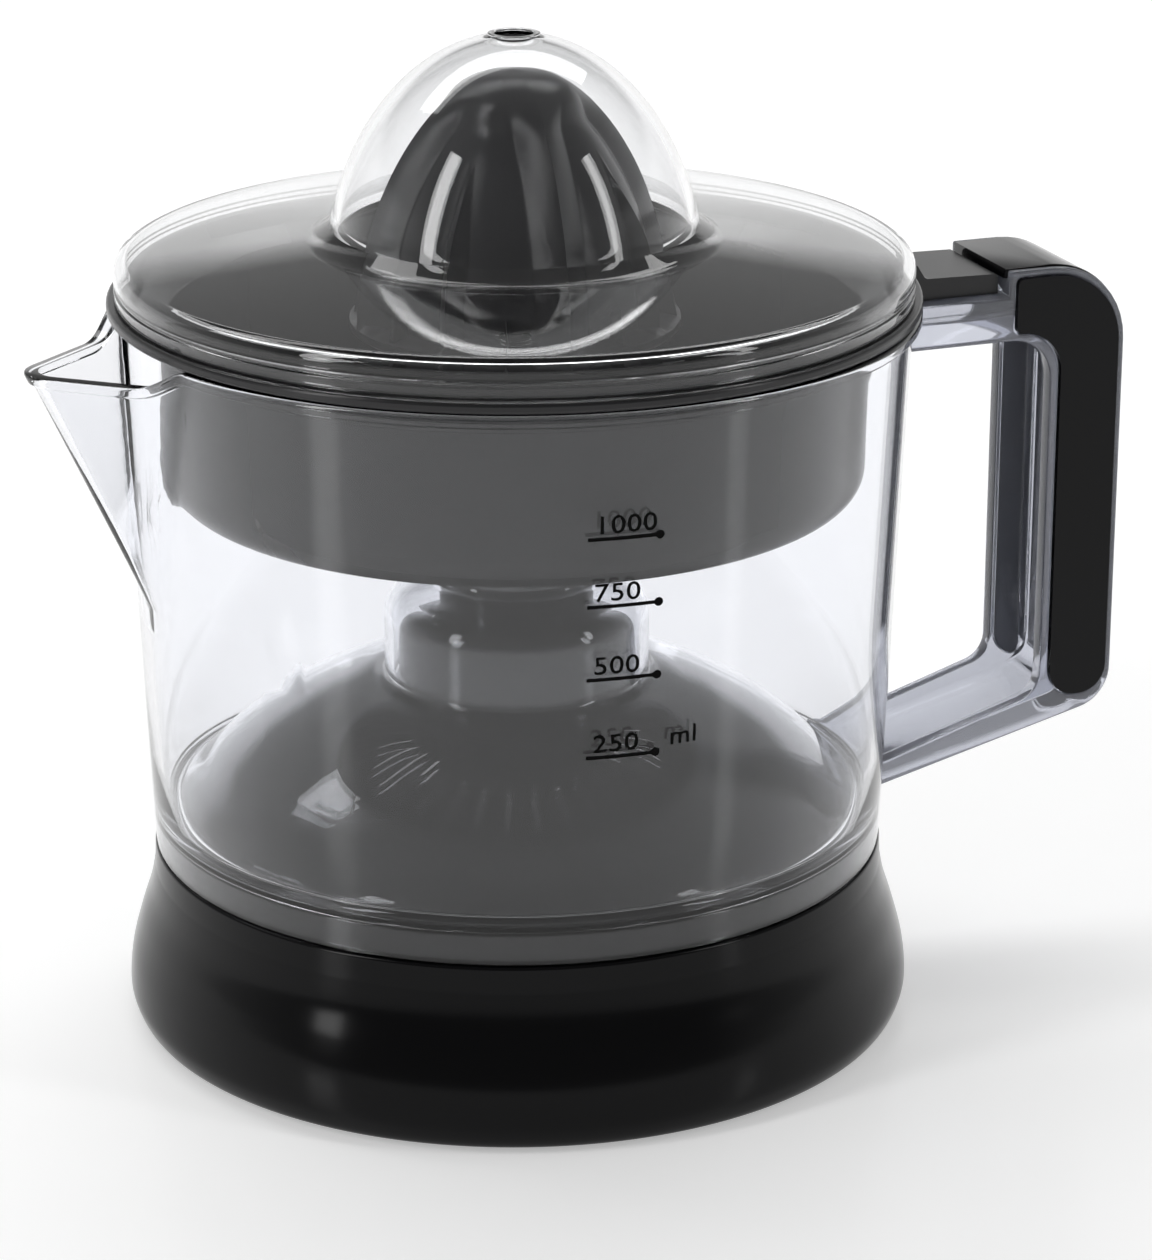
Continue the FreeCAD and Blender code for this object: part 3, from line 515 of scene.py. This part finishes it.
def dome_arc(shrink, steps=22):
    """The dome's section, from the lid up to the edge of the top hole."""
    first, last = radians(14), pi / 2 - atan2(4.4, 38)
    angles = [first + (last - first) * i / steps for i in range(steps + 1)]
    return [((DOME_A - shrink) * cos(a), DOME_Z + (DOME_B - shrink) * sin(a)) for a in angles]


def dust_cover():
    out, inner = dome_arc(0), dome_arc(DOME_WALL)
    section = rounded([(79.1, 155.8), (79.1, 154.8, 0.3), (80.9, 154.8, 0.4), (80.9, 157.0, 0.3),
                       (80.45, 157.3, 0.2), (80.45, 157.9, 0.2), (80.9, 158.2, 0.3), (80.9, 162.4, 2.6),
                       (41.0, 165.8, 5), out[0]])[1:-1]
    section += out
    section += rounded([out[-1], (5.4, 206.5, 0.3), (5.2, 207.0, 0.4), (3.9, 207.0, 0.3), (3.9, 204.9, 0.4),
                        inner[-1]])[1:-1]
    section += list(reversed(inner))
    section += rounded([inner[0], (40.0, 164.0, 6.2), (79.1, 160.7, 1.4), (79.1, 155.2)])[1:-1]
    return dress(spin("clear_cover", section), "cover", "cover_clear", "dust_cover")


# ---- printed volume marks --------------------------------------------------------
MARKS = (("250", 82.1), ("500", 98.2), ("750", 113.1), ("1000", 126.7))     # number, height of its line
MARK_FROM, MARK_TO, MARK_UNIT_AT = -100.3, -90.1, -88.0                     # degrees about the spindle
DIGIT_H, DIGIT_LIFT = 3.6, 1.1
FONT_PER_DIGIT = 1.42           # font size for a digit of height 1
DIGIT_STRETCH = 1.16
LINE_HALF, DOT_R, INK_T = 0.36, 0.9, 0.05


def wrap(piece, start_deg, z0):
    """Bends flat text or a line, in millimetres, round the jug's side."""
    for v in piece.data.vertices:
        z = z0 + v.co.y
        r = wall_r(z) + 0.06 + v.co.z
        a = radians(start_deg) + v.co.x / wall_r(z)
        v.co = Vector((r * cos(a) * MM + AXIS_X, r * sin(a) * MM, z * MM))
    piece.data.update()


def printed(name, text, start_deg, line_z):
    """A number or the unit, standing a little above its line."""
    font = bpy.data.curves.new(name, "FONT")
    font.body = text
    font.size = DIGIT_H * FONT_PER_DIGIT
    font.offset = 0.03
    font.extrude = 0.04
    font.space_character = 1.06
    flat = put(name, font)
    graph = bpy.context.evaluated_depsgraph_get()
    mesh = bpy.data.meshes.new_from_object(flat.evaluated_get(graph))
    bpy.data.objects.remove(flat)
    piece = put(name, mesh)
    for v in mesh.vertices:
        v.co.x *= DIGIT_STRETCH
    wrap(piece, start_deg, line_z + DIGIT_LIFT)
    return piece


def printed_line(name, z0):
    """The line under a number, with the dot at its right end."""
    length = radians(MARK_TO - MARK_FROM) * wall_r(z0)
    bm = bmesh.new()
    steps = 24
    near = [bm.verts.new((length * i / steps, -LINE_HALF, 0)) for i in range(steps + 1)]
    far = [bm.verts.new((length * i / steps, LINE_HALF, 0)) for i in range(steps + 1)]
    for i in range(steps):
        bm.faces.new((near[i], near[i + 1], far[i + 1], far[i]))
    bm.faces.new([bm.verts.new((length + DOT_R * cos(k * pi / 10), DOT_R * sin(k * pi / 10), 0))
                  for k in range(20)])
    solid = bmesh.ops.extrude_face_region(bm, geom=list(bm.faces))
    for v in [g for g in solid["geom"] if isinstance(g, bmesh.types.BMVert)]:
        v.co.z += INK_T
    bmesh.ops.recalc_face_normals(bm, faces=bm.faces)
    piece = put(name, mesh_of(name, bm))
    wrap(piece, MARK_FROM, z0)
    return piece


def volume_marks():
    pieces = []
    for text, z in MARKS:
        pieces += [printed("mark_" + text, text, MARK_FROM + 0.9, z), printed_line("line_" + text, z)]
    pieces.append(printed("mark_ml", "ml", MARK_UNIT_AT, MARKS[0][1]))
    for piece in pieces:
        dress(piece, "jug", "inlay_black", finish=MARK_INK)


base_housing()
jug_body()
jug_handle()
handle_inlays()
handle_back_strip()
reamer_cone()
reamer_fins()
dust_cover()
volume_marks()


# ---- stage, light and camera -----------------------------------------------------
# Metres and degrees.  The camera stands VIEW_OUT from the spindle, turned by
# VIEW_TURN, and aims a little to the handle's side of it.
VIEW_TURN = radians(20)
VIEW_OUT, VIEW_UP, LENS = 0.8559, 0.3838, 124.65
AIM_SIDE, AIM_UP = 0.01234, 0.0811
LIT = Vector((0, 0, 0.09))      # where the softboxes point
DARK_TO, WHITE_FROM = -0.55, 0.45       # the room from the viewer's side to the far side
WHITE_BELOW, GREY_ABOVE = 13.5, 19      # degrees above the horizon
UPPER_LEVEL, ROOM_GLOW, ROOM_LEAST = 0.18, 0.85, 0.16


def floor():
    bm = bmesh.new()
    bmesh.ops.create_grid(bm, x_segments=2, y_segments=2, size=6.0)
    ground = put("floor", mesh_of("floor", bm))
    white = material("floor_white", (0.93, 0.93, 0.93), 0.2, 0.03, 0.0, Specular_IOR_Level=0.22,
                     Emission_Color=(1, 1, 1, 1), Emission_Strength=0.38)
    ground.data.materials.append(white)


def area(name, place, size, power):
    """A softbox: its place, its width and height in metres, and its watts."""
    light = bpy.data.lights.new(name, "AREA")
    light.shape = "RECTANGLE"
    light.size, light.size_y = size
    light.energy = power
    lamp = put(name, light)
    lamp.location = place
    lamp.rotation_euler = (LIT - Vector(place)).to_track_quat("-Z", "Y").to_euler()


def studio():
    """A white room that is dark on the viewer's side, so black gloss stays black."""
    world = bpy.data.worlds.new("studio")
    world.use_nodes = True
    nodes = world.node_tree.nodes
    links = world.node_tree.links
    place = nodes.new("ShaderNodeTexCoord")
    toward = nodes.new("ShaderNodeVectorMath")
    toward.operation = "DOT_PRODUCT"
    toward.inputs[1].default_value = (sin(VIEW_TURN), cos(VIEW_TURN), 0)
    links.new(place.outputs["Generated"], toward.inputs[0])
    rear = set_inputs(nodes.new("ShaderNodeMapRange"), From_Min=DARK_TO, From_Max=WHITE_FROM)
    links.new(toward.outputs["Value"], rear.inputs["Value"])
    height = nodes.new("ShaderNodeSeparateXYZ")
    links.new(place.outputs["Generated"], height.inputs["Vector"])
    low = set_inputs(nodes.new("ShaderNodeMapRange"), From_Min=sin(radians(WHITE_BELOW)),
                     From_Max=sin(radians(GREY_ABOVE)), To_Min=1.0, To_Max=UPPER_LEVEL)
    links.new(height.outputs["Z"], low.inputs["Value"])
    both = nodes.new("ShaderNodeMath")
    both.operation = "MULTIPLY"
    links.new(rear.outputs["Result"], both.inputs[0])
    links.new(low.outputs["Result"], both.inputs[1])
    lift = nodes.new("ShaderNodeMath")
    lift.operation = "MULTIPLY_ADD"
    lift.inputs[1].default_value = ROOM_GLOW
    lift.inputs[2].default_value = ROOM_LEAST
    links.new(both.outputs["Value"], lift.inputs[0])
    background = set_inputs(nodes["Background"], Color=(1, 1, 1, 1))
    links.new(lift.outputs["Value"], background.inputs["Strength"])
    bpy.context.scene.world = world


floor()
studio()
area("softbox_left", (-0.95, -0.25, 0.55), (0.16, 0.9), 3.4)
area("softbox_right", (0.75, -0.75, 0.6), (0.12, 0.8), 2.0)
area("softbox_top", (0.1, 0.9, 1.6), (2.6, 0.5), 16)

view = bpy.data.cameras.new("camera")
view.sensor_width = 36.0
view.lens = LENS
camera = put("camera", view)
camera.location = (AXIS_X - VIEW_OUT * sin(VIEW_TURN), -VIEW_OUT * cos(VIEW_TURN), VIEW_UP)
aim = Vector((AXIS_X + AIM_SIDE * cos(VIEW_TURN), -AIM_SIDE * sin(VIEW_TURN), AIM_UP))
camera.rotation_euler = (aim - camera.location).to_track_quat("-Z", "Y").to_euler()
bpy.context.scene.camera = camera
bpy.context.scene.view_settings.view_transform = "Standard"
